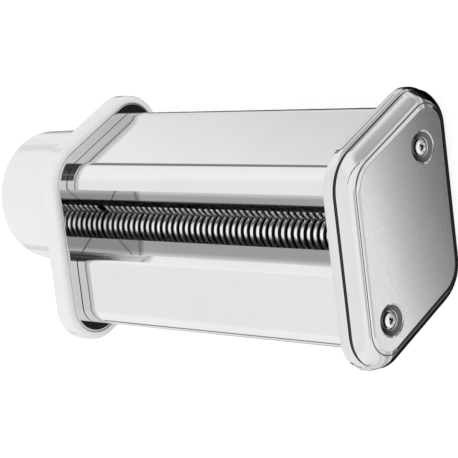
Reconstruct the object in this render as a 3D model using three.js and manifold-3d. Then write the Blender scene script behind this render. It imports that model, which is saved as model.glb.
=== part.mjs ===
// Pasta cutter attachment for a stand mixer: two ringed cutter rollers between two side plates,
// a moulded drive housing with its hub drum at one end and a drawn end cap over the gears at the other.
//
// Built about the middle of the side plates, with x = 0 at the inner face of the left side plate,
// +X towards the end cap, +Y to the rear cover and +Z up through the feed slot.
// The whole group is then moved so that its origin is the middle of its base.
import * as THREE from 'three';
import { mergeVertices } from 'three/addons/utils/BufferGeometryUtils.js';
import Module from 'manifold-3d';

const wasm = await Module();
wasm.setup();

// ---------------------------------------------------------------- driving dimensions, millimetres
const span = 145; // between the inner faces of the two side plates
const plateHeight = 50.7; // side plate outline, level edge to level edge
const plateWidth = 73.3; // length of a level edge before its corners are rounded
const lean = Math.atan(25.7 / 50.7); // the sloping edges lean back by this angle
const obtuseRadius = 14.7; // corner radii of the side plate outline
const acuteRadius = 10.75;
const rim = 3.05; // the housing band and the right rim stand this far outside the outline
const gap = 0.3; // clearance between pieces that are only assembled together

const plateThickness = 1.2; // left side plate
const bandDepth = 8; // housing band behind the left side plate
const floorThickness = 1.5; // right side plate, between the rollers and the gears
const rimDepth = 3.9; // full depth of the right side plate's rim
const capBase = 5; // end cap, measured out from the right plate's inner face
const capFace = 10.4;
const capWall = 1.2;

const coverInset = 3.82; // covers lie this far inside the plate outline
const sheet = 0.9; // thickness of the cover sheet
const feedLipEnd = [7.2, 13.8]; // edge of the rear cover's feed lip
const exitLipEnd = [5.8, -13.2]; // edge of the rear cover's exit lip

const axisGap = 11.5; // distance between the roller axes
const driveAxis = [8.4, 0.6]; // rear roller, driven by the mixer
const drivenAxis = [driveAxis[0] - axisGap, driveAxis[1]]; // front roller, driven by the gears
const ringRadius = 6.6;
const coreRadius = 4.8;
const ringWidth = 1.54;
const ringPitch = 3.22;
const frontRings = 45;
const rollerEnd = 0.5; // the ringed body stops this far from each side plate
const journalRadius = 3;
const gearSeatRadius = 2.4;
const runningGap = 0.08; // radial clearance of a shaft in its bearing
const rollerFacets = 8;

const gearTeeth = 14;
const drumRadius = 25.6;
const drumEnd = -39; // open mouth of the hub drum
const webFace = -9; // drum side of the wall between drum and band
const tieRod = { rearAt: [25.7, -11.2], frontAt: [-28.7, 12.9], radius: 3.2, bore: 1.85, boreDepth: 12 };
const drivePinAt = -12.4; // cross pin that locks the shaft to the rear roller
const screwShank = 1.5;

// ---------------------------------------------------------------- materials
const metal = (color, roughness) =>
  new THREE.MeshStandardMaterial({ color, roughness, metalness: 1, flatShading: true });
const plain = (color, roughness) =>
  new THREE.MeshStandardMaterial({ color, roughness, metalness: 0, flatShading: true });
const polishedSteel = metal(0xd4d6d8, 0.08);
const chrome = metal(0xdcdde0, 0.05);
const rollerSteel = metal(0xc2c3c4, 0.22);
const zincSteel = metal(0xb4b8bc, 0.35);
const bronze = metal(0xb98a4a, 0.4);
const whitePlastic = plain(0xf3f4f4, 0.2);
const greyNylon = plain(0xc9c8c2, 0.5);
const blackRubber = plain(0x131313, 0.6);

// ---------------------------------------------------------------- geometry helpers
const basisAlongX = new THREE.Matrix4().makeBasis(
  new THREE.Vector3(0, 1, 0), new THREE.Vector3(0, 0, 1), new THREE.Vector3(1, 0, 0));
const latheAlongX = new THREE.Matrix4().makeBasis(
  new THREE.Vector3(0, 1, 0), new THREE.Vector3(1, 0, 0), new THREE.Vector3(0, 0, -1));

// Shares the vertices of a closed surface, drops empty triangles and turns its faces outwards.
function closed(geometry) {
  geometry.deleteAttribute('normal');
  geometry.deleteAttribute('uv');
  const merged = mergeVertices(geometry, 1e-4);
  const point = (i) => new THREE.Vector3().fromBufferAttribute(merged.attributes.position, i);
  const kept = [];
  let volume = 0;
  for (let i = 0; i < merged.index.count; i += 3) {
    const [a, b, c] = [0, 1, 2].map((k) => merged.index.getX(i + k));
    if (a === b || b === c || c === a) continue;
    kept.push(a, b, c);
    volume += point(a).dot(point(b).cross(point(c)));
  }
  merged.setIndex(volume < 0 ? kept.reverse() : kept);
  return merged;
}

function solid(geometry) {
  const shape = closed(geometry);
  const vertProperties = new Float32Array(shape.attributes.position.array);
  const triVerts = new Uint32Array(shape.index.array);
  return new wasm.Manifold(new wasm.Mesh({ numProp: 3, vertProperties, triVerts }));
}

function surface(manifold) {
  const { vertProperties, triVerts } = manifold.getMesh();
  const geometry = new THREE.BufferGeometry();
  geometry.setAttribute('position', new THREE.BufferAttribute(new Float32Array(vertProperties), 3));
  geometry.setIndex(new THREE.BufferAttribute(new Uint32Array(triVerts), 1));
  return geometry;
}

const join = (geometries) => geometries.map(solid).reduce((all, next) => all.add(next));

function cut(body, tools) {
  return surface(tools.map(solid).reduce((left, tool) => left.subtract(tool), body));
}

// Revolves a profile of [x, radius] points about the line through axis that runs along X.
function revolve(profile, axis = [0, 0], facets = 24) {
  const points = profile.map(([x, radius]) => new THREE.Vector2(radius, x));
  const geometry = new THREE.LatheGeometry(points, facets).applyMatrix4(latheAlongX);
  return closed(geometry.translate(0, axis[0], axis[1]));
}

const rod = (x0, x1, radius, axis, facets = 16) =>
  revolve([[x0, 0], [x0, radius], [x1, radius], [x1, 0]], axis, facets);

const ring = (x0, x1, inner, outer, axis, facets = 24) =>
  revolve([[x0, inner], [x0, outer], [x1, outer], [x1, inner], [x0, inner]], axis, facets);

// Extrudes an outline of [y, z] points from x0 to x1, with round or square holes.
function prism(outline, x0, x1, holes = []) {
  const shape = new THREE.Shape(outline.map(([y, z]) => new THREE.Vector2(y, z)));
  for (const hole of holes) shape.holes.push(new THREE.Path(hole.map(([y, z]) => new THREE.Vector2(y, z))));
  const geometry = new THREE.ExtrudeGeometry(shape, { depth: x1 - x0, bevelEnabled: false });
  return closed(geometry.applyMatrix4(basisAlongX).translate(x0, 0, 0));
}

function arc([y, z], radius, from, to, steps) {
  const points = [];
  for (let i = 0; i <= steps; i += 1) {
    const angle = from + ((to - from) * i) / steps;
    points.push([y + radius * Math.cos(angle), z + radius * Math.sin(angle)]);
  }
  return points;
}

const circle = (centre, radius, facets = 16) => arc(centre, radius, 0, 2 * Math.PI, facets).slice(0, -1);

const rectangle = ([y, z], width, height) => [
  [y - width / 2, z - height / 2], [y + width / 2, z - height / 2],
  [y + width / 2, z + height / 2], [y - width / 2, z + height / 2]];

// Radius of a regular hole whose flats, not its corners, lie at the given radius.
const acrossFlats = (radius, facets) => radius / Math.cos(Math.PI / facets);

// ---------------------------------------------------------------- side plate outline
function cornerCentre(radius, z) {
  const sideDistance = (plateWidth / 2) * Math.cos(lean);
  return [(sideDistance - radius - z * Math.sin(lean)) / Math.cos(lean), z];
}
const opposite = ([y, z]) => [-y, -z];
const upperRear = cornerCentre(obtuseRadius, plateHeight / 2 - obtuseRadius);
const lowerRear = cornerCentre(acuteRadius, acuteRadius - plateHeight / 2);

// The leaning rounded outline shared by both ends, grown or shrunk by offset.
function outline(offset) {
  const quarter = Math.PI / 2;
  return [
    ...arc(upperRear, obtuseRadius + offset, lean, quarter, 6),
    ...arc(opposite(lowerRear), acuteRadius + offset, quarter, 2 * quarter + lean, 8),
    ...arc(opposite(upperRear), obtuseRadius + offset, 2 * quarter + lean, 3 * quarter, 6),
    ...arc(lowerRear, acuteRadius + offset, 3 * quarter, 4 * quarter + lean, 8),
  ];
}

// Skins the outline through sections of [x, offset] and closes both ends.
function loft(sections) {
  const rings = sections.map(([x, offset]) => outline(offset).map(([y, z]) => [x, y, z]));
  const count = rings[0].length;
  const positions = rings.flat(2);
  const first = positions.length / 3;
  positions.push(sections[0][0], 0, 0, sections[sections.length - 1][0], 0, 0);
  const index = [];
  for (let i = 0; i < count; i += 1) {
    const next = (i + 1) % count;
    const last = (rings.length - 1) * count;
    for (let row = 0; row < last; row += count) {
      index.push(row + i, row + next, row + count + next, row + i, row + count + next, row + count + i);
    }
    index.push(first, next, i, first + 1, last + i, last + next);
  }
  const geometry = new THREE.BufferGeometry();
  geometry.setAttribute('position', new THREE.Float32BufferAttribute(positions, 3));
  geometry.setIndex(index);
  return closed(geometry);
}

// ---------------------------------------------------------------- the assembly
const assembly = new THREE.Group();
function piece(name, geometry, material) {
  const mesh = new THREE.Mesh(geometry, material);
  mesh.name = name;
  assembly.add(mesh);
  return mesh;
}

const rearTie = tieRod.rearAt;
const frontTie = tieRod.frontAt;
const combBar = { thickness: 1, depth: 3.6, drop: 5.7, tabReach: 1 };
const combCentre = (axis, side) => [axis[0] + side * (ringRadius + 2.2), axis[1] - combBar.drop];
const rearComb = combCentre(driveAxis, 1);
const frontComb = combCentre(drivenAxis, -1);

// Holes that both side plates share: bushings, tie-rod screws and the tabs of the combs.
function plateHoles() {
  const tabSlot = [combBar.depth + 2 * gap, combBar.thickness + 2 * gap];
  return [
    circle(driveAxis, 4.75), circle(drivenAxis, 4.75),
    circle(rearTie, tieRod.bore), circle(frontTie, tieRod.bore),
    rectangle(rearComb, ...tabSlot), rectangle(frontComb, ...tabSlot),
  ];
}

function driveHousing() {
  const band = loft([[-bandDepth, rim - 1], [-bandDepth + 1, rim], [-2.4, rim], [-1, rim - 0.55],
    [-0.25, rim - 1.5], [0, 0.9]]);
  const drum = revolve([[-6.5, 0], [-6.5, drumRadius + 0.7], [drumEnd + 2.6, drumRadius],
    [drumEnd + 1.2, drumRadius - 0.4], [drumEnd + 0.3, drumRadius - 1.3], [drumEnd, drumRadius - 2.5],
    [drumEnd, 0]], driveAxis, 40);
  const drumHollow = revolve([[drumEnd - 1, 0], [drumEnd - 1, 22.8], [-32.2, 22.8], [-32.2, 21.8],
    [webFace, 21.8], [webFace, 0]], driveAxis, 32);
  const shell = join([band, drum])
    .subtract(solid(drumHollow))
    .subtract(solid(loft([[-6, -3], [-plateThickness, -3]])))
    .subtract(solid(loft([[-plateThickness - gap, gap], [1, gap]])));
  const bearingBoss = rod(-15.2, -6, 13, driveAxis, 32);
  const pillars = [rearTie, frontTie].map((at) => rod(-6.5, -plateThickness - gap, 5.5, at));
  const body = [bearingBoss, ...pillars].map(solid).reduce((all, next) => all.add(next), shell);
  const bearingSeat = revolve([[-16, 0], [-16, 10.35], [-8.7, 10.35], [-8.7, 8.6], [-5, 8.6], [-5, 0]],
    driveAxis);
  const screwHoles = [rearTie, frontTie].map((at) =>
    revolve([[-10, 0], [-10, 3.7], [-5.5, 3.7], [-5.5, tieRod.bore], [0, tieRod.bore], [0, 0]], at, 16));
  piece('drive_housing', cut(body, [bearingSeat, ...screwHoles]), whitePlastic);
}

function sidePlates() {
  const drill = (x0, x1) => plateHoles().map((hole) => prism(hole, x0, x1));
  const leftPlate = solid(prism(outline(0), -plateThickness, 0));
  piece('left_side_plate', cut(leftPlate, drill(-plateThickness - 1, 1)), polishedSteel);
  const tray = solid(loft([[span, rim - 0.8], [span + 0.25, rim - 0.25], [span + 0.8, rim],
    [span + rimDepth - 0.8, rim], [span + rimDepth, rim - 0.6]]));
  const well = loft([[span + floorThickness, 0], [span + rimDepth + 1, 0]]);
  piece('right_side_plate', cut(tray, [well, ...drill(span - 1, span + floorThickness + 1)]), chrome);
  const seal = prism(outline(2), span + rimDepth + gap, span + capBase - gap, [outline(-0.6)]);
  piece('cap_gasket', seal, blackRubber);
}

function endCap() {
  const shoulder = [[capBase, 2.2], [capBase + 0.8, 2.05], [capBase + 2, 1.25], [capBase + 3, 0.45],
    [capBase + 4, -0.75], [capBase + 4.94, -2.7], [capFace, -4]];
  const outer = solid(loft(shoulder.map(([x, offset]) => [span + x, offset])));
  const hollow = loft(shoulder.map(([x, offset]) =>
    [span + x - (x === capBase ? 1 : capWall), offset - capWall]));
  const shell = outer.subtract(solid(hollow));
  const face = span + capFace;
  const bosses = [rearTie, frontTie].map((at) => solid(rod(face - 2.8, face - capWall / 2, 6.6, at, 24)));
  const body = bosses.reduce((all, boss) => all.add(boss), shell);
  const dimples = [rearTie, frontTie].map((at) =>
    revolve([[face - 4, 0], [face - 4, tieRod.bore], [face - 1.5, tieRod.bore], [face - 1.5, 3.4],
      [face - 0.5, 4.9], [face + 0.1, 6.2], [face + 1, 6.2], [face + 1, 0]], at, 24));
  piece('end_cap', cut(body, dimples), chrome);
}

// Offsets an open path to its right by the sheet thickness and closes the two into a strip.
function strip(path) {
  const inner = path.map(([y, z], i) => {
    const before = path[Math.max(i - 1, 0)];
    const after = path[Math.min(i + 1, path.length - 1)];
    const a = new THREE.Vector2(y - before[0], z - before[1]).normalize();
    const b = new THREE.Vector2(after[0] - y, after[1] - z).normalize();
    const along = a.clone().add(b).normalize();
    const reach = sheet / Math.max(along.dot(i ? a : b), 0.5);
    return [y + along.y * reach, z - along.x * reach];
  });
  return [...path, ...inner.reverse()];
}

function covers() {
  const quarter = Math.PI / 2;
  const level = coverInset - plateHeight / 2;
  const path = [
    feedLipEnd,
    ...arc(upperRear, obtuseRadius - coverInset, quarter, lean, 8),
    ...arc(lowerRear, acuteRadius - coverInset, lean, -quarter, 10),
    ...arc([14.6, level + 3.2], 3.2, -quarter, -quarter - 0.9, 4),
    exitLipEnd,
  ];
  const sheetMetal = prism(strip(path), gap, span - gap);
  piece('rear_cover', sheetMetal, polishedSteel);
  piece('front_cover', sheetMetal.clone(), polishedSteel).rotation.x = Math.PI;
}

// Ring positions along X: the front roller's rings, and the rear roller's halfway between them.
const firstRing = (span - (frontRings - 1) * ringPitch) / 2;
const frontRingAt = Array.from({ length: frontRings }, (_, i) => firstRing + i * ringPitch);
const rearRingAt = frontRingAt.slice(0, -1).map((x) => x + ringPitch / 2);

// The pin that locks the shaft to the rear roller, or with more radius the hole for it.
function crossPin(radius, length) {
  return new THREE.CylinderGeometry(radius, radius, length, 8).rotateX(Math.PI / 2)
    .translate(drivePinAt, ...driveAxis);
}

function cutterRoller(name, axis, ringAt, leftEnd) {
  const rings = ringAt.flatMap((x) => [
    [x - ringWidth / 2, coreRadius], [x - ringWidth / 2, ringRadius],
    [x + ringWidth / 2, ringRadius], [x + ringWidth / 2, coreRadius]]);
  const profile = [
    [leftEnd, 0], [leftEnd, journalRadius], [rollerEnd, journalRadius], [rollerEnd, coreRadius],
    ...rings,
    [span - rollerEnd, coreRadius], [span - rollerEnd, journalRadius], [span + 3, journalRadius],
    [span + 3, gearSeatRadius], [span + 9, gearSeatRadius], [span + 9, 0],
  ];
  const body = solid(revolve(profile, axis, rollerFacets));
  const drilled = leftEnd < drivePinAt ? cut(body, [crossPin(1.3, 20)]) : surface(body);
  piece(name, drilled, rollerSteel);
}

function spurGear(name, axis, phase) {
  const pitch = (2 * Math.PI) / gearTeeth;
  const pitchRadius = axisGap / 2;
  const teeth = [];
  for (let i = 0; i < gearTeeth; i += 1) {
    const middle = (i + phase) * pitch;
    for (const [share, height] of [[-0.3, -0.95], [-0.13, 0.62], [0.13, 0.62], [0.3, -0.95]]) {
      const angle = middle + share * pitch;
      const radius = pitchRadius + height;
      teeth.push([axis[0] + radius * Math.cos(angle), axis[1] + radius * Math.sin(angle)]);
    }
  }
  const bore = circle(axis, acrossFlats(gearSeatRadius + gap, 12), 12);
  piece(name, prism(teeth, span + 3.2, span + 8, [bore]), greyNylon);
}

// Open spring ring that sits in or beyond a groove on a shaft.
function retainingClip(name, axis, x0, x1, inner, outer) {
  const opening = 0.5;
  const ends = [Math.PI / 2 + opening, (5 * Math.PI) / 2 - opening];
  const outside = arc(axis, outer, ends[0], ends[1], 16);
  const inside = arc(axis, inner, ends[1], ends[0], 16);
  piece(name, prism([...outside, ...inside], x0, x1), zincSteel);
}

function bushing(name, axis, plateFace, outwards) {
  const facets = 12;
  const bore = acrossFlats(journalRadius + runningGap, facets);
  const at = (distance) => plateFace + outwards * distance;
  const profile = [[at(0), bore], [at(0), 4.4], [at(1.8), 4.4], [at(1.8), 5.4], [at(2.8), 5.4],
    [at(2.8), bore], [at(0), bore]];
  piece(name, revolve(profile, axis, facets), bronze);
}

function rollers() {
  cutterRoller('rear_cutter_roller', driveAxis, rearRingAt, -15.6);
  cutterRoller('front_cutter_roller', drivenAxis, frontRingAt, -5.4);
  spurGear('rear_roller_gear', driveAxis, 0);
  spurGear('front_roller_gear', drivenAxis, 0.5);
  retainingClip('rear_gear_clip', driveAxis, span + 8.3, span + 8.9, gearSeatRadius + gap, 4.2);
  retainingClip('front_gear_clip', drivenAxis, span + 8.3, span + 8.9, gearSeatRadius + gap, 4.2);
  for (const [place, axis] of [['rear', driveAxis], ['front', drivenAxis]]) {
    bushing(`${place}_left_bushing`, axis, 0, -1);
    bushing(`${place}_right_bushing`, axis, span, 1);
  }
}

// Flat comb whose fingers lie in the grooves of one roller and lift the dough strands off it.
function comb(name, centre, side, fingerAt, tip) {
  const nearEdge = centre[0] - (side * combBar.depth) / 2;
  const farEdge = centre[0] + (side * combBar.depth) / 2;
  const reach = combBar.tabReach;
  const fingerWidth = 1.1;
  const points = [[-reach, farEdge], [-reach, nearEdge]];
  for (const x of fingerAt) {
    points.push([x - fingerWidth / 2, nearEdge], [x - fingerWidth / 2, tip]);
    points.push([x + fingerWidth / 2, tip], [x + fingerWidth / 2, nearEdge]);
  }
  points.push([span + reach, nearEdge], [span + reach, farEdge]);
  const shape = new THREE.Shape(points.map(([x, y]) => new THREE.Vector2(x, y)));
  const options = { depth: combBar.thickness, bevelEnabled: false };
  const bottom = centre[1] - combBar.thickness / 2;
  piece(name, closed(new THREE.ExtrudeGeometry(shape, options).translate(0, 0, bottom)), greyNylon);
}

function combs() {
  comb('rear_comb', rearComb, 1, frontRingAt.slice(1, -1), driveAxis[0] - 2.5);
  comb('front_comb', frontComb, -1, rearRingAt, drivenAxis[0] + 2.5);
}

// Pan-head screw along X with a cross recess: under is the underside of its head.
function panScrew(name, at, under, headHeight, headRadius, shankLength, headSide) {
  const along = (distance) => under + headSide * distance;
  const head = revolve([[along(-shankLength), 0], [along(-shankLength), screwShank], [under, screwShank],
    [under, headRadius], [along(headHeight * 0.55), headRadius], [along(headHeight), headRadius * 0.7],
    [along(headHeight), 0]], at, 12);
  const slot = (width, height) =>
    new THREE.BoxGeometry(1.6, width, height).translate(along(headHeight), ...at);
  piece(name, cut(solid(head), [slot(0.8, 3), slot(3, 0.8)]), zincSteel);
}

function fasteners() {
  for (const [place, at] of [['rear', rearTie], ['front', frontTie]]) {
    const bar = solid(rod(gap, span - gap, tieRod.radius, at));
    const drill = (x0, x1) => rod(x0, x1, tieRod.bore, at, 12);
    const bores = [drill(-1, tieRod.boreDepth), drill(span - tieRod.boreDepth, span + 1)];
    piece(`${place}_tie_rod`, cut(bar, bores), zincSteel);
    panScrew(`${place}_cap_screw`, at, span + capFace - 1.25, 1.2, 2.75, 18, 1);
    panScrew(`${place}_housing_screw`, at, -5.8, 1.8, 3, 15, -1);
  }
}

function driveEnd() {
  const facets = 16;
  const shaftRadius = 7.5;
  const collar = revolve([[-17.5, 0], [-17.5, shaftRadius], [-16.3, shaftRadius], [-16.3, 6.9], [-15.2, 6.9],
    [-15.2, shaftRadius], [webFace, shaftRadius], [webFace, 0]], driveAxis, facets);
  const half = 5.5;
  const chamfer = 1.6;
  const shankAt = (size) => [[half, half - chamfer], [half - chamfer, half], [chamfer - half, half],
    [-half, half - chamfer], [-half, chamfer - half], [chamfer - half, -half], [half - chamfer, -half],
    [half, chamfer - half]].map(([y, z]) => [driveAxis[0] + y * size, driveAxis[1] + z * size]);
  const shank = prism(shankAt(1), -35.8, -17);
  const tip = prism(shankAt(0.84), -37, -35.5);
  const bore = rod(-16, -8, journalRadius + gap, driveAxis);
  const tools = [bore, crossPin(1.3, 20)];
  piece('drive_shaft', cut(join([collar, shank, tip]), tools), zincSteel);
  piece('drive_pin', closed(crossPin(1, 14)), zincSteel);
  const bearingBore = acrossFlats(shaftRadius + runningGap, facets);
  piece('hub_bearing', ring(-15, -9.3, bearingBore, 10, driveAxis), bronze);
  retainingClip('shaft_clip', driveAxis, -16.1, -15.5, 7.2, 9.6);
}

// Ring in the drum mouth with three inward lugs that twist behind the mixer's outlet.
function bayonetCollar() {
  const [outer, inner, lug] = [22.4, 19.6, 17.4];
  const lugs = 3;
  const lugAngle = 0.55;
  const bore = [];
  for (let i = 0; i < lugs; i += 1) {
    const start = (i * 2 * Math.PI) / lugs;
    bore.push(...arc(driveAxis, lug, start, start + lugAngle, 3));
    bore.push(...arc(driveAxis, inner, start + lugAngle + 0.04, start + (2 * Math.PI) / lugs - 0.04, 8));
  }
  piece('bayonet_collar', prism(circle(driveAxis, outer, 32), -37, -32.5, [bore]), zincSteel);
}

driveHousing();
sidePlates();
endCap();
covers();
rollers();
combs();
fasteners();
driveEnd();
bayonetCollar();

// The base of the rims and the middle of the length become the origin.
assembly.position.set(-(drumEnd + span + capFace) / 2, 0, plateHeight / 2 + rim);
const pastaCutter = new THREE.Group();
pastaCutter.name = 'pasta_cutter_attachment';
pastaCutter.add(assembly);

export default pastaCutter;
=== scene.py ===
"""Pasta cutter attachment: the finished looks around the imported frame.

Everything is in metres in the row's frame: X along the rollers from the drive drum to the end cap,
Y to the rear cover, Z up through the feed slot. Visible pieces are rebuilt here with fine meshes
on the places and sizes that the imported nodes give.
"""
import math

import bmesh
import bpy
from mathutils import Matrix, Vector


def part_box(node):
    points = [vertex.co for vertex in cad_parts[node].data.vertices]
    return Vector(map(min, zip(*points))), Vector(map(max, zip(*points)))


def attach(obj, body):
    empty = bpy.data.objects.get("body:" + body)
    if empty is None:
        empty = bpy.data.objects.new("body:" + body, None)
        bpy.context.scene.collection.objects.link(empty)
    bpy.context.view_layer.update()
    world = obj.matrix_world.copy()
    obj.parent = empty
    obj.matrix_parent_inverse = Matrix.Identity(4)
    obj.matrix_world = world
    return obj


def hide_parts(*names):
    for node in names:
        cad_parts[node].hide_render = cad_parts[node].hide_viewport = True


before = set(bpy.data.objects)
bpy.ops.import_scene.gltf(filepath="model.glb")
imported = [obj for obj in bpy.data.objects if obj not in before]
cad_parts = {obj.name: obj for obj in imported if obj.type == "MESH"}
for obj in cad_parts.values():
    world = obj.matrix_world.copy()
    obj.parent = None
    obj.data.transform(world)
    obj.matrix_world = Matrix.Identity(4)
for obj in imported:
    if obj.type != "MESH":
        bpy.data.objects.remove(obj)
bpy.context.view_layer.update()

# ------------------------------------------------------------------ sizes, in metres
MM = 0.001
EDGE = 0.12 * MM  # softened edge of a cut sheet

plate_low, plate_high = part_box("left_side_plate")
tray_low, tray_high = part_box("right_side_plate")
cap_low, cap_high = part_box("end_cap")
rear_low, rear_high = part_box("rear_cutter_roller")
front_low, front_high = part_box("front_cutter_roller")

CENTRE_Z = (plate_low.z + plate_high.z) / 2
LEFT = plate_high.x  # inner face of the left side plate
RIGHT = tray_low.x  # inner face of the right side plate
SPAN = RIGHT - LEFT
HALF_HEIGHT = (plate_high.z - plate_low.z) / 2
LEAN = math.atan(25.7 / 50.7)  # the sloping edges lean back by this angle
HALF_WIDTH = 36.65 * MM  # from the middle to a sloping edge, at mid height
OBTUSE_RADIUS = 14.7 * MM
ACUTE_RADIUS = 10.75 * MM
RIM = tray_high.z - plate_high.z  # how far the rims stand outside the plate outline
COVER_INSET = 3.82 * MM
SHEET = 0.9 * MM
FEED_LIP = (7.2 * MM, CENTRE_Z + 13.8 * MM)  # (y, z) edges of the rear cover's lips
EXIT_LIP = (5.8 * MM, CENTRE_Z - 13.2 * MM)

DRIVE_AXIS = ((rear_low.y + rear_high.y) / 2, (rear_low.z + rear_high.z) / 2)
DRIVEN_AXIS = ((front_low.y + front_high.y) / 2, (front_low.z + front_high.z) / 2)
RING_RADIUS = (rear_high.z - rear_low.z) / 2
CORE_RADIUS = 4.8 * MM
RING_WIDTH = 1.54 * MM
RING_PITCH = 3.22 * MM
FRONT_RINGS = 45
JOURNAL_RADIUS = 3 * MM
BUSHING_HOLE = 4.75 * MM  # radius of the plates' holes for the bushings
SCREW_HOLE = 1.85 * MM  # radius of every hole that a screw passes
COMB_DEPTH = 3.6 * MM
COMB_PLAY = 0.3 * MM  # room round a comb's tab in its slot
DRUM_RADIUS = 25.6 * MM
DRUM_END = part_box("drive_housing")[0].x
SHANK_HALF = 5.5 * MM  # half the side of the square drive shank
SHAFT_RADIUS = 7.5 * MM


def middle(node):
    """The (y, z) middle of a node."""
    low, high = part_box(node)
    return ((low.y + high.y) / 2, (low.z + high.z) / 2)


REAR_TIE = middle("rear_tie_rod")
FRONT_TIE = middle("front_tie_rod")
TIES = (REAR_TIE, FRONT_TIE)


# ------------------------------------------------------------------ mesh helpers
def new_piece(name, mesh, material, body="frame", node=None):
    """Links a mesh as a visible piece that rides on a body and stands for a CAD node."""
    piece = bpy.data.objects.new(name, mesh)
    bpy.context.scene.collection.objects.link(piece)
    mesh.materials.clear()
    mesh.materials.append(material)
    weighted = piece.modifiers.new("flat faces stay flat", "WEIGHTED_NORMAL")
    weighted.keep_sharp = True
    weighted.weight = 100
    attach(piece, body)
    if node:
        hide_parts(node)
    return piece


def smooth_by_angle(mesh, angle=math.radians(32)):
    """Shades smooth and keeps an edge sharp where its faces meet at more than the angle."""
    shape = bmesh.new()
    shape.from_mesh(mesh)
    bmesh.ops.recalc_face_normals(shape, faces=shape.faces)
    for face in shape.faces:
        face.smooth = True
    for edge in shape.edges:
        edge.smooth = len(edge.link_faces) == 2 and edge.calc_face_angle(0) < angle
    shape.to_mesh(mesh)
    shape.free()
    return mesh


def mesh_from(name, vertices, faces):
    mesh = bpy.data.meshes.new(name)
    mesh.from_pydata(vertices, [], faces)
    mesh.update()
    return mesh


def apply_modifier(name, mesh, kind, **values):
    """Runs a modifier on a mesh and returns the result as a plain mesh."""
    holder = bpy.data.objects.new(name, mesh)
    bpy.context.scene.collection.objects.link(holder)
    modifier = holder.modifiers.new(kind, kind)
    for key, value in values.items():
        setattr(modifier, key, value)
    graph = bpy.context.evaluated_depsgraph_get()
    result = bpy.data.meshes.new_from_object(holder.evaluated_get(graph))
    bpy.data.objects.remove(holder)
    result.name = name
    return result


def soften(name, mesh, width=EDGE, segments=2, angle=math.radians(35)):
    """Rounds the sharp edges of a mesh by a small width."""
    return apply_modifier(name, mesh, "BEVEL", width=width, segments=segments, limit_method="ANGLE",
                          angle_limit=angle, miter_outer="MITER_ARC", harden_normals=False)


def boolean(name, mesh, tools, operation):
    """Joins tools to a mesh, or cuts them out of it."""
    for tool_mesh in tools:
        tool = bpy.data.objects.new(name + "_tool", tool_mesh)
        bpy.context.scene.collection.objects.link(tool)
        mesh = apply_modifier(name, mesh, "BOOLEAN", object=tool, operation=operation, solver="MANIFOLD")
        bpy.data.objects.remove(tool)
    return mesh


def arc(centre, radius, start, end, steps):
    return [(centre[0] + radius * math.cos(start + (end - start) * i / steps),
             centre[1] + radius * math.sin(start + (end - start) * i / steps)) for i in range(steps + 1)]


def circle(centre, radius, steps=64):
    return arc(centre, radius, 0, 2 * math.pi, steps)[:-1]


def revolve(name, profile, axis, steps=96, closed=False):
    """Turns a profile of (x, radius) points about a line along X. A closed profile makes a ring."""
    vertices = []
    rows = []
    for x, radius in profile:
        if radius < 1e-7:
            rows.append([len(vertices)])
            vertices.append((x, axis[0], axis[1]))
            continue
        rows.append(range(len(vertices), len(vertices) + steps))
        vertices += [(x, y, z) for y, z in circle(axis, radius, steps)]
    pairs = list(zip(rows, rows[1:])) + ([(rows[-1], rows[0])] if closed else [])
    faces = []
    for low, high in pairs:
        for i in range(steps):
            j = (i + 1) % steps
            corners = [low[i % len(low)], low[j % len(low)], high[j % len(high)], high[i % len(high)]]
            face = list(dict.fromkeys(corners))
            if len(face) > 2:
                faces.append(face)
    return smooth_by_angle(mesh_from(name, vertices, faces))


def prism(name, outline, x0, x1, holes=()):
    """Extrudes an outline of (y, z) points along X, with holes."""
    shape = bmesh.new()
    edges = []
    for loop in [outline, *holes]:
        corners = [shape.verts.new((x0, y, z)) for y, z in loop]
        edges += [shape.edges.new((corners[i - 1], corners[i])) for i in range(len(corners))]
    bmesh.ops.triangle_fill(shape, use_beauty=True, edges=edges)
    bmesh.ops.dissolve_limit(shape, angle_limit=0.01, verts=shape.verts, edges=shape.edges)
    grown = bmesh.ops.extrude_face_region(shape, geom=shape.faces[:])
    moved = [item for item in grown["geom"] if isinstance(item, bmesh.types.BMVert)]
    bmesh.ops.translate(shape, verts=moved, vec=(x1 - x0, 0, 0))
    mesh = bpy.data.meshes.new(name)
    shape.to_mesh(mesh)
    shape.free()
    return smooth_by_angle(mesh)


# ------------------------------------------------------------------ the shared outline
def corner_centre(radius, z):
    reach = HALF_WIDTH * math.cos(LEAN)
    return ((reach - radius - z * math.sin(LEAN)) / math.cos(LEAN), z + CENTRE_Z)


def opposite(point):
    return (-point[0], 2 * CENTRE_Z - point[1])


UPPER_REAR = corner_centre(OBTUSE_RADIUS, HALF_HEIGHT - OBTUSE_RADIUS)
LOWER_REAR = corner_centre(ACUTE_RADIUS, ACUTE_RADIUS - HALF_HEIGHT)


def outline(offset, steps=20):
    """The leaning rounded outline of both ends, grown or shrunk by offset."""
    quarter = math.pi / 2
    return [
        *arc(UPPER_REAR, OBTUSE_RADIUS + offset, LEAN, quarter, steps),
        *arc(opposite(LOWER_REAR), ACUTE_RADIUS + offset, quarter, 2 * quarter + LEAN, steps + 8),
        *arc(opposite(UPPER_REAR), OBTUSE_RADIUS + offset, 2 * quarter + LEAN, 3 * quarter, steps),
        *arc(LOWER_REAR, ACUTE_RADIUS + offset, 3 * quarter, 4 * quarter + LEAN, steps + 8),
    ]


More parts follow.
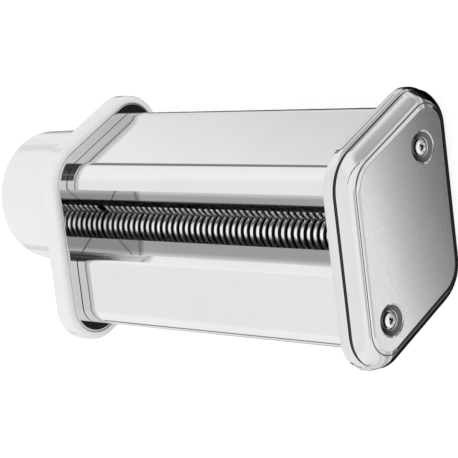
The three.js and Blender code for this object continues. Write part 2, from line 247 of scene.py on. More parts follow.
def loft(name, sections, closed=False):
    """Skins the outline through sections of (x, offset); a closed loft is a frame with a hole."""
    vertices = []
    for x, offset in sections:
        vertices += [(x, y, z) for y, z in outline(offset)]
    count = len(vertices) // len(sections)
    faces = []
    rows = len(sections) if closed else len(sections) - 1
    for row in range(rows):
        low, high = row * count, ((row + 1) % len(sections)) * count
        faces += [(low + i, low + (i + 1) % count, high + (i + 1) % count, high + i) for i in range(count)]
    if not closed:
        faces.append(tuple(range(count)))
        faces.append(tuple(range(len(vertices) - count, len(vertices))))
    return smooth_by_angle(mesh_from(name, vertices, faces))


def fillet(corner, before, after, radius, steps):
    """Points that round a corner of a profile between two straight runs."""
    corner, before, after = Vector(corner), Vector(before), Vector(after)
    a, b = (before - corner).normalized(), (after - corner).normalized()
    half = a.angle(b) / 2
    reach = radius / math.tan(half)
    centre = corner + (a + b).normalized() * (radius / math.sin(half))
    first = (corner + a * reach - centre).normalized()
    last = (corner + b * reach - centre).normalized()
    return [tuple(centre + first.slerp(last, i / steps) * radius) for i in range(steps + 1)]


def rounded(profile, radii, steps):
    """An open profile whose corners are rounded by the given radii; its two ends stay sharp."""
    points = []
    for i, corner in enumerate(profile):
        if radii[i]:
            points += fillet(corner, profile[i - 1], profile[i + 1], radii[i], steps)
        else:
            points.append(tuple(corner))
    return points


# ------------------------------------------------------------------ materials
ALONG = (0.02, 1, 1)  # lines that run along X
AROUND = (1, 0.02, 0.02)  # lines that run round the rollers
LINE_SCALE = 900  # fineness of the polishing lines
LINE_DEPTH = 0.05 * MM
# painted shade on the rear cover's lips, nearest the rollers: their colour is darkened where they would lie
# in shade
LIP_SHADE_FADE = (12.6 * MM, 14.9 * MM)  # Y range over which the painted shade on a lip fades out to the full tint
LIP_SHADE_TONE = 0.5


class Nodes:
    """A material's node tree, with short calls to add and link nodes."""

    def __init__(self, name):
        self.material = bpy.data.materials.new(name)
        self.material.use_nodes = True
        self.tree = self.material.node_tree
        self.shader = self.tree.nodes["Principled BSDF"]
        self.place = self.add("ShaderNodeTexCoord").outputs["Object"]

    def add(self, kind, **values):
        node = self.tree.nodes.new(kind)
        for key, value in values.items():
            setattr(node, key, value)
        return node

    def link(self, source, target):
        self.tree.links.new(source, target)

    def set(self, **values):
        for key, value in values.items():
            self.shader.inputs[key.replace("_", " ")].default_value = value

    def noise(self, scale, detail=3.0, stretch=(1, 1, 1)):
        mapping = self.add("ShaderNodeMapping")
        mapping.inputs["Scale"].default_value = stretch
        self.link(self.place, mapping.inputs["Vector"])
        noise = self.add("ShaderNodeTexNoise")
        noise.inputs["Scale"].default_value = scale
        noise.inputs["Detail"].default_value = detail
        self.link(mapping.outputs["Vector"], noise.inputs["Vector"])
        return noise.outputs["Fac"]

    def spread(self, source, low, high, start=0.3, end=0.7):
        """Maps a value from start..end to low..high."""
        ramp = self.add("ShaderNodeMapRange")
        for key, value in (("From Min", start), ("From Max", end), ("To Min", low), ("To Max", high)):
            ramp.inputs[key].default_value = value
        self.link(source, ramp.inputs["Value"])
        return ramp.outputs["Result"]

    def blend(self, factor, low, high):
        """A colour that runs from low to high with the factor."""
        ramp = self.add("ShaderNodeValToRGB")
        ramp.color_ramp.elements[0].color = (*low, 1)
        ramp.color_ramp.elements[1].color = (*high, 1)
        self.link(factor, ramp.inputs["Fac"])
        return ramp.outputs["Color"]

    def bump(self, source, strength, distance, below=None):
        bump = self.add("ShaderNodeBump")
        bump.inputs["Strength"].default_value = strength
        bump.inputs["Distance"].default_value = distance
        self.link(source, bump.inputs["Height"])
        if below:
            self.link(below, bump.inputs["Normal"])
        return bump.outputs["Normal"]


def metal_nodes(name, low, high, smooth, dull, wave, grain, stretch=(1, 1, 1)):
    """A metal whose tint and roughness drift slightly, with a gentle waviness and fine polishing lines."""
    nodes = Nodes(name)
    nodes.set(Metallic=1.0)
    tint = nodes.blend(nodes.noise(35), low, high)
    lines = nodes.noise(LINE_SCALE, 2.0, stretch)
    nodes.link(tint, nodes.shader.inputs["Base Color"])
    nodes.link(nodes.spread(lines, smooth, dull), nodes.shader.inputs["Roughness"])
    broad = nodes.bump(nodes.noise(22, 1.0), wave, 1 * MM)
    nodes.link(nodes.bump(lines, grain, LINE_DEPTH, broad), nodes.shader.inputs["Normal"])
    return nodes, tint


def metal_material(name, *settings):
    return metal_nodes(name, *settings)[0].material


def lip_shade_material(name, *settings):
    """A metal with painted shade on its pressed lips, nearest the rollers: its colour is darkened by Y
    position.
    """
    nodes, tint = metal_nodes(name, *settings)
    parts = nodes.add("ShaderNodeSeparateXYZ")
    nodes.link(nodes.place, parts.inputs["Vector"])
    # painted shade: the tint is halved on the lips and brightens to full over the fade range
    outside = nodes.spread(parts.outputs["Y"], LIP_SHADE_TONE, 1.0, *LIP_SHADE_FADE)
    scale = nodes.add("ShaderNodeVectorMath", operation="SCALE")
    nodes.link(tint, scale.inputs[0])
    nodes.link(outside, scale.inputs["Scale"])
    nodes.link(scale.outputs["Vector"], nodes.shader.inputs["Base Color"])
    return nodes.material


def plastic_material(name, low, high, smooth, dull, grain_scale, grain, coat=0.0):
    """A moulded plastic: slight tone drift, fine moulded grain and a soft gloss."""
    nodes = Nodes(name)
    nodes.set(Coat_Weight=coat, Coat_Roughness=0.06, IOR=1.5)
    drift = nodes.noise(18)
    fine = nodes.noise(grain_scale, 4.0)
    nodes.link(nodes.blend(drift, low, high), nodes.shader.inputs["Base Color"])
    nodes.link(nodes.spread(fine, smooth, dull), nodes.shader.inputs["Roughness"])
    nodes.link(nodes.bump(fine, grain, 0.04 * MM), nodes.shader.inputs["Normal"])
    return nodes.material


def ring_material(name, axis):
    """Turned steel, bright on the ring tops, with painted shade that makes it near black down in the grooves
    between the rings.
    """
    nodes = Nodes(name)
    nodes.set(Metallic=1.0)
    offset = nodes.add("ShaderNodeVectorMath", operation="SUBTRACT")
    nodes.link(nodes.place, offset.inputs[0])
    offset.inputs[1].default_value = (0, *axis)
    flat = nodes.add("ShaderNodeVectorMath", operation="MULTIPLY")
    nodes.link(offset.outputs["Vector"], flat.inputs[0])
    flat.inputs[1].default_value = (0, 1, 1)
    radius = nodes.add("ShaderNodeVectorMath", operation="LENGTH")
    nodes.link(flat.outputs["Vector"], radius.inputs[0])
    # painted shade mask: 0 on the core and ring flanks, where the rings shade each other, 1 on the ring tops
    top = nodes.spread(radius.outputs["Value"], 0, 1, RING_RADIUS - 0.9 * MM, RING_RADIUS - 0.25 * MM)
    lines = nodes.noise(LINE_SCALE, 2.0, AROUND)
    mottle = nodes.spread(nodes.noise(300), -0.08, 0.0)
    # painted shade in the grooves, plus a slight random mottle
    painted_shade_and_mottle = nodes.add("ShaderNodeMath", operation="ADD")
    nodes.link(top, painted_shade_and_mottle.inputs[0])
    nodes.link(mottle, painted_shade_and_mottle.inputs[1])
    tint = nodes.blend(painted_shade_and_mottle.outputs[0], (0.1, 0.1, 0.105), (0.97, 0.97, 0.96))
    nodes.link(tint, nodes.shader.inputs["Base Color"])
    nodes.link(nodes.spread(lines, 0.3, 0.45), nodes.shader.inputs["Roughness"])
    nodes.link(nodes.bump(lines, 0.2, LINE_DEPTH), nodes.shader.inputs["Normal"])
    return nodes.material


def screw_material(name, top):
    """Bright zinc plate on a screw head, with painted shade that makes it near black in its recess and round
    its rim.
    """
    nodes = Nodes(name)
    nodes.set(Metallic=1.0)
    parts = nodes.add("ShaderNodeSeparateXYZ")
    nodes.link(nodes.place, parts.inputs["Vector"])
    # painted shade: near black below the head's top, in the recess and round the rim, times a slight random
    # mottle
    height = nodes.spread(parts.outputs["X"], 0, 1, top - 0.75 * MM, top - 0.45 * MM)
    painted_shade_and_mottle = nodes.add("ShaderNodeMath", operation="MULTIPLY")
    nodes.link(height, painted_shade_and_mottle.inputs[0])
    nodes.link(nodes.spread(nodes.noise(LINE_SCALE), 0.93, 1.0), painted_shade_and_mottle.inputs[1])
    tint = nodes.blend(painted_shade_and_mottle.outputs[0], (0.04, 0.04, 0.045), (0.97, 0.97, 0.97))
    nodes.link(tint, nodes.shader.inputs["Base Color"])
    nodes.link(nodes.spread(nodes.noise(1500), 0.38, 0.5), nodes.shader.inputs["Roughness"])
    return nodes.material


# Each metal: darkest and lightest tint, lowest and highest roughness, waviness, line strength.
polish = ((0.74, 0.745, 0.75), (0.8, 0.805, 0.81), 0.03, 0.09, 0.02, 0.05, ALONG)
polished = metal_material("polished_steel", *polish)
# the rear cover's copy of the polished steel, with painted shade on its lips
lip_shaded_steel = lip_shade_material("polished_steel_rear_lip_shade", *polish)
mirror = metal_material("mirror_plate", (0.7, 0.7, 0.71), (0.76, 0.76, 0.77), 0.02, 0.05, 0.01, 0.02)
chrome = metal_material("chrome_plate", (0.68, 0.685, 0.69), (0.76, 0.765, 0.77), 0.03, 0.07, 0.02, 0.03)
# painted shade: a near-black metal for the thin dark line at the crease round the cap's face
crease_shade_metal = metal_material("painted_crease_shade", (0.1, 0.1, 0.1), (0.2, 0.2, 0.2), 0.2, 0.4, 0.02, 0.2)
zinc = metal_material("zinc_plate", (0.6, 0.62, 0.64), (0.74, 0.75, 0.76), 0.18, 0.34, 0.02, 0.1)
bronze = metal_material("sintered_bronze", (0.5, 0.33, 0.15), (0.68, 0.47, 0.24), 0.3, 0.5, 0.0, 0.4)
head_zinc_shaded = screw_material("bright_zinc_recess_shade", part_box("rear_cap_screw")[1].x)
turned_rear = ring_material("turned_steel_rear_groove_shade", DRIVE_AXIS)
turned_front = ring_material("turned_steel_front_groove_shade", DRIVEN_AXIS)
# Each plastic: darkest and lightest tint, lowest and highest roughness, grain scale and strength.
white = plastic_material("white_plastic", (0.7, 0.705, 0.71), (0.73, 0.735, 0.74), 0.12, 0.22, 2500, 0.04,
                         coat=0.3)
nylon = plastic_material("grey_nylon", (0.5, 0.5, 0.48), (0.6, 0.59, 0.57), 0.35, 0.5, 1800, 0.15)
rubber = plastic_material("black_rubber", (0.01, 0.01, 0.01), (0.022, 0.022, 0.022), 0.45, 0.7, 1400, 0.3)


# ------------------------------------------------------------------ housing, plates and cap
def behind_plate(profile):
    """Points of (x, radius or offset), from millimetres behind the left plate's inner face."""
    return [(LEFT - depth * MM, radius * MM) for depth, radius in profile]


def drive_housing():
    """White moulding: the band behind the left plate, the hub drum and its inner boss."""
    back = LEFT - 8 * MM
    band_profile = rounded([(back, RIM - 0.4 * MM), (back, RIM), (LEFT, RIM), (LEFT, 0.5 * MM)],
                           [0, 0.4 * MM, 2.1 * MM, 0], 8)
    band_profile[0] = (back, RIM - 0.8 * MM)
    band = loft("band", band_profile)
    root = LEFT - 6.5 * MM
    hub = rounded([(root, 0), (root, DRUM_RADIUS + 0.7 * MM), (DRUM_END, DRUM_RADIUS), (DRUM_END, 0)],
                  [0, 0, 2.5 * MM, 0], 10)
    drum = revolve("drum", hub, DRIVE_AXIS, 160)
    mouth, seat, step, web = 22.8 * MM, 21.8 * MM, LEFT - 32.2 * MM, LEFT - 9 * MM
    hollow = revolve("hollow", [(DRUM_END - MM, 0), (DRUM_END - MM, mouth), (step, mouth), (step, seat),
                                (web, seat), (web, 0)], DRIVE_AXIS, 160)
    cavity = loft("cavity", behind_plate([(6, -3), (1.2, -3)]))
    recess = loft("recess", behind_plate([(1.5, 0.25), (-1, 0.25)]))
    shell = boolean("housing", band, [drum], "UNION")
    shell = boolean("housing", shell, [hollow, cavity, recess], "DIFFERENCE")
    boss = revolve("boss", behind_plate([(15.2, 0), (15.2, 13), (6.1, 13), (6.1, 0)]), DRIVE_AXIS)
    pillar = behind_plate([(6.5, 0), (6.5, 5.5), (1.5, 5.5), (1.5, 0)])
    pillars = [revolve("pillar", pillar, at, 48) for at in TIES]
    shell = boolean("housing", shell, [boss, *pillars], "UNION")
    bearing_seat = revolve("seat", behind_plate([(16, 0), (16, 10.35), (8.7, 10.35), (8.7, 8.6), (5, 8.6),
                                                 (5, 0)]), DRIVE_AXIS)
    screw_hole = [*behind_plate([(10, 0), (10, 3.7), (5.5, 3.7)]),
                  (LEFT - 5.5 * MM, SCREW_HOLE), (LEFT, SCREW_HOLE), (LEFT, 0)]
    screw_holes = [revolve("hole", screw_hole, at, 48) for at in TIES]
    shell = boolean("housing", shell, [bearing_seat, *screw_holes], "DIFFERENCE")
    new_piece("housing_moulding", smooth_by_angle(shell), white, node="drive_housing")


def side_plates():
    """Mirror-polished left plate and the chromed tray that carries the gears at the right."""
    comb_slots = []
    for name in ("rear_comb", "front_comb"):
        low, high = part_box(name)
        outer = high.y if name == "rear_comb" else low.y
        inner = outer - math.copysign(COMB_DEPTH, outer)
        play = math.copysign(COMB_PLAY, outer)
        near, far = sorted((outer + play, inner - play))
        bottom, top = low.z - COMB_PLAY, high.z + COMB_PLAY
        comb_slots.append([(near, bottom), (far, bottom), (far, top), (near, top)])
    holes = [*(circle(axis, BUSHING_HOLE) for axis in (DRIVE_AXIS, DRIVEN_AXIS)),
             *(circle(at, SCREW_HOLE) for at in TIES), *comb_slots]
    plate = loft("left_plate", rounded([(plate_low.x, -MM), (plate_low.x, 0), (LEFT, 0), (LEFT, -MM)],
                                       [0, 0.2 * MM, 0.35 * MM, 0], 4))
    drills = [prism("drill", hole, LEFT - 3 * MM, LEFT + MM) for hole in holes]
    plate = boolean("left_plate", plate, drills, "DIFFERENCE")
    new_piece("left_plate_polished", smooth_by_angle(plate), mirror, node="left_side_plate")

    out = tray_high.x
    tray = loft("tray", rounded([(RIGHT, 0), (RIGHT, RIM), (out, RIM), (out, 0)],
                                [0, 0.7 * MM, 1.9 * MM, 0], 9))
    well = loft("well", [(RIGHT + 1.5 * MM, 0), (out + MM, 0)])
    drills = [prism("drill", hole, RIGHT - MM, RIGHT + 3 * MM) for hole in holes]
    tray = boolean("tray", tray, [well, *drills], "DIFFERENCE")
    new_piece("right_rim_tray", smooth_by_angle(tray), chrome, node="right_side_plate")

    low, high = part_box("cap_gasket")
    outer, inner = 2 * MM, -0.6 * MM
    seal = loft("seal", [(low.x, outer), (high.x, outer), (high.x, inner), (low.x, inner)], closed=True)
    new_piece("cap_seal", soften("seal", seal), rubber, node="cap_gasket")


def end_cap():
    """Drawn chrome cap with a rounded shoulder, painted shade in a thin line at the crease round its face,
    and screw dimples.
    """
    base, face, wall = cap_low.x, cap_high.x, 1.2 * MM
    crease = (base + 4.88 * MM, base + 4.94 * MM)
    wall_points = [(0, 2.2), (0.8, 2.05), (1.4, 1.7), (2, 1.25), (3, 0.45), (3.6, -0.2), (4.05, -0.8),
                   (4.4, -1.3), (4.66, -1.8), (4.8, -2.15), (4.88, -2.4), (4.94, -2.85)]
    shoulder = [(base + x * MM, offset * MM) for x, offset in wall_points]
    shoulder = rounded([(base + 0.1 * MM, 1.9 * MM), *shoulder], [0, 0.25 * MM, *[0] * len(wall_points)], 4)
    shoulder += [(face - 0.06 * MM, -3.88 * MM), (face - 0.01 * MM, -4 * MM), (face, -4.15 * MM)]
    inner = [(base - MM, 0.5 * MM), (base + 1.6 * MM, 0.3 * MM), (face - wall - 0.2 * MM, -2.8 * MM),
             (face - wall, -4.2 * MM)]
    shell = boolean("cap", loft("cap", shoulder), [loft("cap_hollow", inner)], "DIFFERENCE")
    boss_radius, inside, outside = 6.6 * MM, face - 2.8 * MM, face - 0.6 * MM
    boss = [(inside, 0), (inside, boss_radius), (outside, boss_radius), (outside, 0)]
    bosses = [revolve("boss", boss, at, 64) for at in TIES]
    shell = boolean("cap", shell, bosses, "UNION")
    dimple = rounded([(face - 4 * MM, 0), (face - 4 * MM, SCREW_HOLE), (face - 1.5 * MM, SCREW_HOLE),
                      (face - 1.5 * MM, 3.05 * MM), (face - 0.9 * MM, 3.3 * MM), (face, 5.6 * MM),
                      (face + 0.02 * MM, 7.3 * MM), (face + MM, 7.3 * MM), (face + MM, 0)],
                     [0, 0, 0, 0.1 * MM, 0.4 * MM, 2 * MM, 0, 0, 0], 10)
    dimples = [revolve("dimple", dimple, at, 96) for at in TIES]
    shell = boolean("cap", shell, dimples, "DIFFERENCE")
    dome = new_piece("end_cap_dome", smooth_by_angle(shell, math.radians(40)), chrome, node="end_cap")
    dome.data.materials.append(crease_shade_metal)
    # faces in the crease take the painted shade material
    for polygon in dome.data.polygons:
        in_crease = crease[0] < polygon.center.x < crease[1] and polygon.normal.x > 0.9
        polygon.material_index = int(in_crease)


def covers():
    """Bent sheet covers: lip, rounded obtuse corner, sloping flat, rounded acute corner, soft bend, lip."""
    low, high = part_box("rear_cover")
    quarter = math.pi / 2
    level = CENTRE_Z - HALF_HEIGHT + COVER_INSET
    bend, bend_turn, bend_at = 3.2 * MM, 0.9, 14.6 * MM
    path = [
        FEED_LIP,
        *arc(UPPER_REAR, OBTUSE_RADIUS - COVER_INSET, quarter, LEAN, 28),
        *arc(LOWER_REAR, ACUTE_RADIUS - COVER_INSET, LEAN, -quarter, 28),
        *arc((bend_at, level + bend), bend, -quarter, -quarter - bend_turn, 10),
        EXIT_LIP,
    ]
    inner = []
    for i, point in enumerate(path):
        here = Vector(point)
        before = (here - Vector(path[i - 1])).normalized() if i else (Vector(path[1]) - here).normalized()
        after = (Vector(path[i + 1]) - here).normalized() if i + 1 < len(path) else before
        along = (before + after).normalized()
        reach = SHEET / along.dot(before)
        inner.append((point[0] + along.y * reach, point[1] - along.x * reach))
    strip = prism("cover", [*path, *inner[::-1]], low.x, high.x)
    strip = smooth_by_angle(soften("cover", strip, 0.2 * MM))
    new_piece("rear_cover_sheet", strip, lip_shaded_steel, node="rear_cover")
    turned_over = strip.copy()
    turn = Matrix.Rotation(math.pi, 4, "X")
    turned_over.transform(Matrix.Translation((0, 0, CENTRE_Z)) @ turn @ Matrix.Translation((0, 0, -CENTRE_Z)))
    new_piece("front_cover_sheet", turned_over, polished, node="front_cover")


# ------------------------------------------------------------------ rollers and drive
def cutter_roller(name, axis, ring_at, ends, body, node, material):
    """Turned roller with a rounded cutting ring at each place in ring_at."""
    edge = 0.22 * MM
    rings = []
    for x in ring_at:
        half = RING_WIDTH / 2
        rings += [(x - half, CORE_RADIUS), (x - half, RING_RADIUS - 1.6 * edge),
                  (x - half + 0.35 * edge, RING_RADIUS - 0.5 * edge), (x - half + 1.2 * edge, RING_RADIUS),
                  (x + half - 1.2 * edge, RING_RADIUS), (x + half - 0.35 * edge, RING_RADIUS - 0.5 * edge),
                  (x + half, RING_RADIUS - 1.6 * edge), (x + half, CORE_RADIUS)]
    left, right = ends
    gear_seat = RIGHT + 3 * MM
    profile = [(left, 0), (left, JOURNAL_RADIUS - 0.3 * MM), (left + 0.3 * MM, JOURNAL_RADIUS),
               (LEFT + 0.5 * MM, JOURNAL_RADIUS), (LEFT + 0.5 * MM, CORE_RADIUS), *rings,
               (RIGHT - 0.5 * MM, CORE_RADIUS), (RIGHT - 0.5 * MM, JOURNAL_RADIUS),
               (gear_seat, JOURNAL_RADIUS), (gear_seat, 2.4 * MM), (right, 2.4 * MM), (right, 0)]
    mesh = revolve(name, profile, axis, 112)
    new_piece(name, mesh, material, body, node)


def rollers():
    first = LEFT + (SPAN - (FRONT_RINGS - 1) * RING_PITCH) / 2
    front = [first + i * RING_PITCH for i in range(FRONT_RINGS)]
    rear = [x + RING_PITCH / 2 for x in front[:-1]]
    cutter_roller("rear_roller_rings", DRIVE_AXIS, rear, (rear_low.x, rear_high.x), "rear_roller",
                  "rear_cutter_roller", turned_rear)
    cutter_roller("front_roller_rings", DRIVEN_AXIS, front, (front_low.x, front_high.x), "front_roller",
                  "front_cutter_roller", turned_front)


def pan_screw(name, at, under, head_height, shank_end):
    """Pan-head screw along X with a cross recess; under is the underside of its head."""
    out = math.copysign(MM, under - shank_end)
    top = under + out * head_height / MM
    tip, shank, head, crown = 1.2 * MM, 1.5 * MM, 2.75 * MM, 1.7 * MM
    profile = rounded([(shank_end, 0), (shank_end, tip), (shank_end + out, shank), (under, shank),
                       (under, head), (under + (top - under) * 0.45, head), (top, crown), (top, 0)],
                      [0, 0, 0, 0, 0.15 * MM, 0.4 * MM, 0.8 * MM, 0], 6)
    screw = revolve(name, profile, at, 64)
    recess = []
    for turn in (math.pi / 4, 3 * math.pi / 4):
        across = Vector((0, math.cos(turn), math.sin(turn)))
        along = Vector((0, -math.sin(turn), math.cos(turn)))
        centre = Vector((top, *at))
        deep = Vector((-out * 1.05, 0, 0))
        corners = []
        for depth, long, wide in ((-0.3, 1.7, 0.5), (1, 0.9, 0.35)):
            for side_a, side_b in ((-1, -1), (1, -1), (1, 1), (-1, 1)):
                flat = along * (side_a * long * MM) + across * (side_b * wide * MM)
                corners.append(centre + deep * depth + flat)
        recess.append(smooth_by_angle(mesh_from("recess", corners, [
            (0, 1, 2, 3), (7, 6, 5, 4), (0, 4, 5, 1), (1, 5, 6, 2), (2, 6, 7, 3), (3, 7, 4, 0)])))
    screw = boolean(name, screw, recess, "DIFFERENCE")
    return smooth_by_angle(screw)


def screws():
    for place, at in zip(("rear", "front"), TIES):
        low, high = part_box(f"{place}_cap_screw")
        cap = pan_screw("cap_screw", at, high.x - 1.2 * MM, 1.2 * MM, low.x)
        new_piece(f"{place}_cap_screw_head", cap, head_zinc_shaded, node=f"{place}_cap_screw")
        low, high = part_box(f"{place}_housing_screw")
        inside = pan_screw("housing_screw", at, low.x + 1.8 * MM, 1.8 * MM, high.x)
        new_piece(f"{place}_housing_screw_head", inside, zinc, node=f"{place}_housing_screw")


def turned_parts():
    """Bushings, tie rods and the hub bearing, turned round where the CAD's are faceted."""
    chamfer = 0.25 * MM
    for place, axis in (("rear", DRIVE_AXIS), ("front", DRIVEN_AXIS)):
        for side, out in (("left", -MM), ("right", MM)):
            node = f"{place}_{side}_bushing"
            low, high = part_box(node)
            inner, outer = (high.x, low.x) if side == "left" else (low.x, high.x)
            flange = outer - out
            bore, sleeve, rim = JOURNAL_RADIUS + 0.05 * MM, 4.4 * MM, 5.4 * MM
            profile = [(inner, bore), (inner, sleeve), (flange, sleeve), (flange, rim - chamfer),
                       (flange + 0.25 * out, rim), (outer - 0.25 * out, rim), (outer, rim - chamfer),
                       (outer, bore)]
            bushing = revolve(node, profile, axis, 64, closed=True)
            new_piece(f"{node}_turned", bushing, bronze, node=node)
    for place, at in zip(("rear", "front"), TIES):
        low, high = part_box(f"{place}_tie_rod")
        radius = (high.z - low.z) / 2
        profile = [(low.x, SCREW_HOLE), (low.x, radius - chamfer), (low.x + chamfer, radius),
                   (high.x - chamfer, radius), (high.x, radius - chamfer), (high.x, SCREW_HOLE)]
        rod = revolve("tie_rod", profile, at, 64, closed=True)
        new_piece(f"{place}_tie_rod_turned", rod, zinc, node=f"{place}_tie_rod")
    low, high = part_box("hub_bearing")
    bore, edge, outside = SHAFT_RADIUS + 0.05 * MM, 0.3 * MM, 10 * MM
    bearing = revolve("bearing", [(low.x, bore), (low.x, outside - edge), (low.x + edge, outside),
                                  (high.x - edge, outside), (high.x, outside - edge), (high.x, bore)],
                      DRIVE_AXIS, 96, closed=True)
    new_piece("hub_bearing_turned", bearing, bronze, node="hub_bearing")


def drive_shaft():
    """Round collar with a clip groove, and the square shank that the mixer turns."""
    low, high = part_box("drive_shaft")
    back, chamfer = high.x - 8.5 * MM, 0.4 * MM
    groove, groove_end, groove_radius = high.x - 7.3 * MM, high.x - 6.2 * MM, 6.9 * MM
    collar = revolve("collar", [(back, 0), (back, SHAFT_RADIUS - chamfer), (back + chamfer, SHAFT_RADIUS),
                                (groove, SHAFT_RADIUS), (groove, groove_radius), (groove_end, groove_radius),
                                (groove_end, SHAFT_RADIUS), (high.x, SHAFT_RADIUS), (high.x, 0)],
                     DRIVE_AXIS, 96)

    def square(size):
        half, cut = SHANK_HALF * size, 1.6 * MM * size
        corners = [(half, half - cut), (half - cut, half), (cut - half, half), (-half, half - cut),
                   (-half, cut - half), (cut - half, -half), (half - cut, -half), (half, cut - half)]
        return [(DRIVE_AXIS[0] + y, DRIVE_AXIS[1] + z) for y, z in corners]

    shank = soften("shank", prism("shank", square(1), low.x + 1.2 * MM, high.x - 8 * MM), 0.3 * MM, 3)
    tip = soften("tip", prism("tip", square(0.84), low.x, low.x + 1.5 * MM), 0.3 * MM, 3)
    bore_end, bore_radius = high.x - 7 * MM, 3.3 * MM
    bore = revolve("bore", [(bore_end, 0), (bore_end, bore_radius), (high.x + MM, bore_radius),
                            (high.x + MM, 0)], DRIVE_AXIS, 64)
    shaft = boolean("shaft", collar, [shank, tip], "UNION")
    shaft = boolean("shaft", shaft, [bore], "DIFFERENCE")
    new_piece("drive_shaft_machined", smooth_by_angle(shaft), zinc, "rear_roller", "drive_shaft")


def collar():
    """Ring in the drum's mouth with three lugs and softened edges."""
    low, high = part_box("bayonet_collar")
    inner, lug, lug_angle, lug_flank = 19.6 * MM, 17.4 * MM, 0.55, 0.04
    third = 2 * math.pi / 3
    bore = []
    for i in range(3):
        start = i * third
        bore += arc(DRIVE_AXIS, lug, start, start + lug_angle, 10)
        bore += arc(DRIVE_AXIS, inner, start + lug_angle + lug_flank, start + third - lug_flank, 24)
    ring = prism("collar", circle(DRIVE_AXIS, 22.4 * MM, 128), low.x, high.x, [bore])
    new_piece("bayonet_collar_ring", smooth_by_angle(soften("collar", ring, 0.25 * MM)), zinc,
              node="bayonet_collar")


def combs():
    """Moulded combs: the CAD's shape with its edges rounded."""
    for node in ("rear_comb", "front_comb"):
        rounded_comb = soften(node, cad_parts[node].data.copy(), 0.15 * MM)
        new_piece(f"{node}_moulded", smooth_by_angle(rounded_comb), nylon, node=node)


def carried_over():
    """Gives the gears, clips and pin, which are shown as the CAD has them, their materials."""
    for name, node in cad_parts.items():
        for word, material in (("clip", zinc), ("pin", zinc), ("gear", nylon)):
            if name.endswith(word):
                node.data.materials.clear()
                node.data.materials.append(material)


# ------------------------------------------------------------------ studio
SKY_GLOW = 0.9  # brightness of the sky as a light, apart from what metal reflects
FLOOR_GREY, FLOOR_GLOW = 0.3, 0.78  # the floor's own light hides most of the shadow
FLOOR_HALF = 6
LENS, SENSOR = 153.6, 36  # in lens millimetres


def direction(azimuth, elevation):
    """The unit vector towards an azimuth from +X and an elevation, both in degrees."""
    around, up = math.radians(azimuth), math.radians(elevation)
    return (math.cos(up) * math.cos(around), math.cos(up) * math.sin(around), math.sin(up))


class Sky:
    """The world's node tree: a tall gradient room with dark cards, seen only in reflections."""

    def __init__(self, scene):
        scene.world = bpy.data.worlds.new("studio")
        scene.world.use_nodes = True
        self.tree = scene.world.node_tree
        self.toward = self.add("ShaderNodeTexCoord").outputs["Generated"]

    def add(self, kind, **values):
        node = self.tree.nodes.new(kind)
        for key, value in values.items():
            setattr(node, key, value)
        return node

    def link(self, source, target):
        self.tree.links.new(source, target)

    def math(self, operation, first, second):
        node = self.add("ShaderNodeMath", operation=operation)
        for socket, value in zip(node.inputs, (first, second)):
            if isinstance(value, (int, float)):
                socket.default_value = value
            else:
                self.link(value, socket)
        return node.outputs[0]

    def smooth(self, value, low, high):
        """Runs smoothly from 0 at low to 1 at high."""
        node = self.add("ShaderNodeMapRange", interpolation_type="SMOOTHSTEP")
        node.inputs["From Min"].default_value = low
        node.inputs["From Max"].default_value = high
        self.link(value, node.inputs["Value"])
        return node.outputs["Result"]

    def along(self, vector):
        """How far the direction that is looked in points along a vector."""
        node = self.add("ShaderNodeVectorMath", operation="DOT_PRODUCT")
        node.inputs[1].default_value = vector
        self.link(self.toward, node.inputs[0])
        return node.outputs["Value"]

    def heights(self, stops):
        """Brightness by elevation, from a list of (sine of elevation, brightness)."""
        ramp = self.add("ShaderNodeValToRGB")
        band = ramp.color_ramp
        for i, (height, value) in enumerate(stops):
            stop = band.elements[i] if i < 2 else band.elements.new((height + 1) / 2)
            stop.position = (height + 1) / 2
            stop.color = (value, value, value, 1)
        halved = self.math("MULTIPLY", self.along((0, 0, 1)), 0.5)
        self.link(self.math("ADD", halved, 0.5), ramp.inputs["Fac"])
        return ramp.outputs["Color"]

    def darken(self, room, mask, depth):
        return self.math("MULTIPLY", room, self.math("SUBTRACT", 1.0, self.math("MULTIPLY", mask, depth)))

    def card(self, room, azimuth, elevation, radius, edge, depth):
        """Darkens a round patch of the room by depth, or brightens it by a negative one; degrees."""
        inside = self.smooth(self.along(direction(azimuth, elevation)),
                             math.cos(math.radians(radius + edge)), math.cos(math.radians(radius)))
        return self.darken(room, inside, depth)

    def between(self, vector, low, high, edge):
        """1 where the direction's reach along a vector is from low to high, with a soft edge."""
        value = self.along(vector)
        above, below = self.smooth(value, low - edge, low), self.smooth(value, high + edge, high)
        return self.math("MULTIPLY", above, below)

    def strip(self, room, heights, edge, depth):
        """Darkens a level strip on the side away from the cap, between two sines of elevation."""
        away = self.smooth(self.along((-1, 0, 0)), -0.2, 0.4)
        level = self.between((0, 0, 1), *heights, edge)
        return self.darken(room, self.math("MULTIPLY", level, away), depth)

    def hoop(self, room, toward_cap, heights, depth):
        """Darkens part of a thin hoop round +X, on the rear side, between two sines of elevation."""
        rear = self.smooth(self.along((0, 1, 0)), 0, 0.1)
        thin = self.math("MULTIPLY", rear, self.between((1, 0, 0), *toward_cap, 0.004))
        return self.darken(room, self.math("MULTIPLY", thin, self.between((0, 0, 1), *heights, 0.01)), depth)


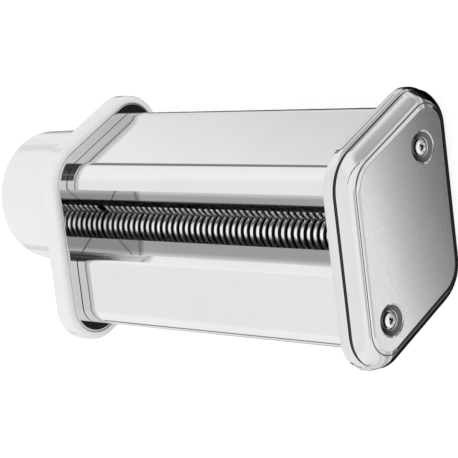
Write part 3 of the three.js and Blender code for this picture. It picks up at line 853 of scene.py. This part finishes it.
def room_light(scene):
    """Soft white light on everything, and a graded room for the polished metal to reflect."""
    sky = Sky(scene)
    cap_face = [(-1, 0.5), (-0.9, 0.45), (-0.76, 0.2), (-0.741, 0.2), (-0.728, 0.43), (-0.718, 0.68),
                (-0.709, 1.1), (-0.69, 0.8), (-0.65, 0.66), (-0.57, 0.6)]
    covers_and_plates = [(-0.5, 0.95), (-0.34, 0.8), (-0.285, 1.02), (0.45, 1.1), (0.6, 1.0), (1, 1.05)]
    room = sky.heights(cap_face + covers_and_plates)
    room = sky.strip(room, (-0.225, -0.1), 0.03, 0.75)
    cards = (  # azimuth, elevation, radius, soft edge, depth
        (-8, -38.3, 5.5, 1.2, 0.97), (2, -24, 8, 3, 0.9), (10, -36.5, 4.5, 2.5, 0.6),
        (-7, 0, 6, 6, 0.45), (56, -14, 10, 14, 0.45), (-7, -11, 5, 4, -0.35),
        (195, -72, 38, 4, 0.96), (100, -58, 22, 5, 0.96),
    )
    for card in cards:
        room = sky.card(room, *card)
    room = sky.hoop(room, (0.775, 0.8), (-0.17, 0.55), 0.97)
    rays = sky.add("ShaderNodeLightPath")
    mixed = sky.add("ShaderNodeMix", data_type="FLOAT")
    sky.link(rays.outputs["Is Glossy Ray"], mixed.inputs["Factor"])
    mixed.inputs["A"].default_value = SKY_GLOW
    sky.link(room, mixed.inputs["B"])
    background = sky.tree.nodes["Background"]
    sky.link(mixed.outputs["Result"], background.inputs["Strength"])
    background.inputs["Color"].default_value = (1, 1, 1, 1)


def studio():
    scene = bpy.context.scene
    scene.view_settings.view_transform = "Standard"
    corners = [(x * FLOOR_HALF, y * FLOOR_HALF, 0) for x, y in ((-1, -1), (1, -1), (1, 1), (-1, 1))]
    floor_mesh = mesh_from("floor", corners, [(0, 1, 2, 3)])
    floor = bpy.data.objects.new("floor", floor_mesh)
    floor.visible_glossy = False
    scene.collection.objects.link(floor)
    pale = Nodes("pale_floor")
    pale.set(Base_Color=(FLOOR_GREY, FLOOR_GREY, FLOOR_GREY, 1), Roughness=0.9,
             Emission_Color=(1, 1, 1, 1), Emission_Strength=FLOOR_GLOW)
    floor_mesh.materials.append(pale.material)
    room_light(scene)

    def softbox(name, place, target, size, power):
        lamp = bpy.data.lights.new(name, "AREA")
        lamp.size, lamp.energy = size, power
        holder = bpy.data.objects.new(name, lamp)
        holder.location = place
        holder.rotation_euler = (Vector(target) - Vector(place)).to_track_quat("-Z", "Y").to_euler()
        holder.visible_glossy = False
        scene.collection.objects.link(holder)

    softbox("key", (-0.6, -0.5, 1.1), (0, 0, 0.03), 0.9, 4)
    softbox("fill", (0.9, 0.7, 0.8), (0, 0, 0.03), 0.8, 3)


def camera():
    """The object seen from above its cap end, with the rear cover up in the frame."""
    lens = bpy.data.cameras.new("camera")
    lens.lens, lens.sensor_width = LENS, SENSOR
    lens.clip_start = 0.01
    holder = bpy.data.objects.new("camera", lens)
    right = Vector((0.6755, -0.1215, -0.7273)).normalized()
    up = Vector((-0.0296, 0.981, -0.1915))
    up = (up - right * up.dot(right)).normalized()
    turn = Matrix((right, up, right.cross(up))).transposed().to_4x4()
    place = Vector((LEFT + 596.6 * MM, 105.8 * MM, CENTRE_Z + 474.8 * MM))
    holder.matrix_world = Matrix.Translation(place) @ turn
    bpy.context.scene.collection.objects.link(holder)
    bpy.context.scene.camera = holder


camera()
studio()
drive_housing()
side_plates()
end_cap()
covers()
rollers()
screws()
turned_parts()
drive_shaft()
collar()
combs()
carried_over()
